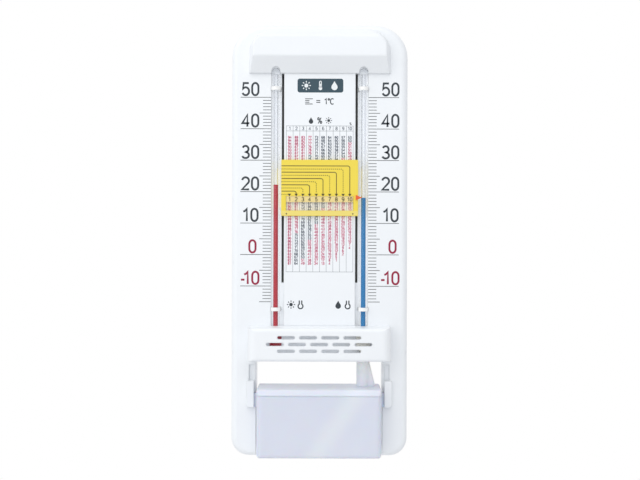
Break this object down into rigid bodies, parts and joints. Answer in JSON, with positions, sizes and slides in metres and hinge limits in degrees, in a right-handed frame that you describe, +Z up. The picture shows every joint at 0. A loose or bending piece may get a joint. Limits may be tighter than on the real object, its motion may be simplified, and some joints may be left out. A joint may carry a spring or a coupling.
{
  "type": "wet and dry bulb hygrometer",
  "caption": "Wall hygrometer with dry and wet bulb thermometers, a humidity table with a sliding reader, a louvred bulb guard and a pull-down water tank with its wick.",
  "frame": {"origin": "middle of the hanging hole, where it meets the wall", "axes": "+Z up along the tubes, +Y from the face into the wall, +X to the right seen from the front"},
  "size_m": [0.108, 0.029, 0.2645],
  "materials": {
    "white_plastic": "satin moulded",
    "grey_plastic": "moulded sheet",
    "steel": "zinc plated",
    "tube_glass": "drawn glass",
    "red_spirit": "dyed liquid",
    "blue_spirit": "dyed liquid",
    "white_clip": "gloss",
    "yellow_plastic": "satin",
    "clear_plastic": "clear",
    "orange_plastic": "satin",
    "keeper_plastic": "moulded",
    "gauze": "knitted cotton",
    "thread": "twisted cotton",
    "milky_plastic": "translucent"
  },
  "bodies": {
    "body": {"base_shell": "white_plastic", "rear_cover": "grey_plastic", "cover_screws": "steel", "hanger_plate": "steel", "hanger_screws": "steel", "dry_bulb_glass": "tube_glass", "dry_bulb_spirit": "red_spirit", "wet_bulb_glass": "tube_glass", "wet_bulb_spirit": "blue_spirit", "dry_upper_clip": "white_clip", "dry_lower_clip": "white_clip", "wet_upper_clip": "white_clip", "wet_lower_clip": "white_clip", "wick_sleeve": "gauze", "wick_thread": "thread", "wick_tail": "gauze"},
    "slider": {"slider_plate": "yellow_plastic", "slider_window": "clear_plastic", "slider_pointer": "orange_plastic", "slider_keeper": "keeper_plastic"},
    "guard": {"bulb_guard": "white_plastic"},
    "tank": {"tank_body": "milky_plastic", "tank_lid": "milky_plastic"}
  },
  "joints": [
    {"name": "slider_slide", "type": "slide", "parent": "body", "child": "slider", "axis": [0, 0, 1], "range_m": [-0.04, 0.05]},
    {"name": "guard_pull", "type": "slide", "parent": "body", "child": "guard", "axis": [0, -1, 0], "range_m": [0, 0.03]},
    {"name": "tank_pull", "type": "slide", "parent": "body", "child": "tank", "axis": [0, 0, -1], "range_m": [0, 0.06]}
  ]
}
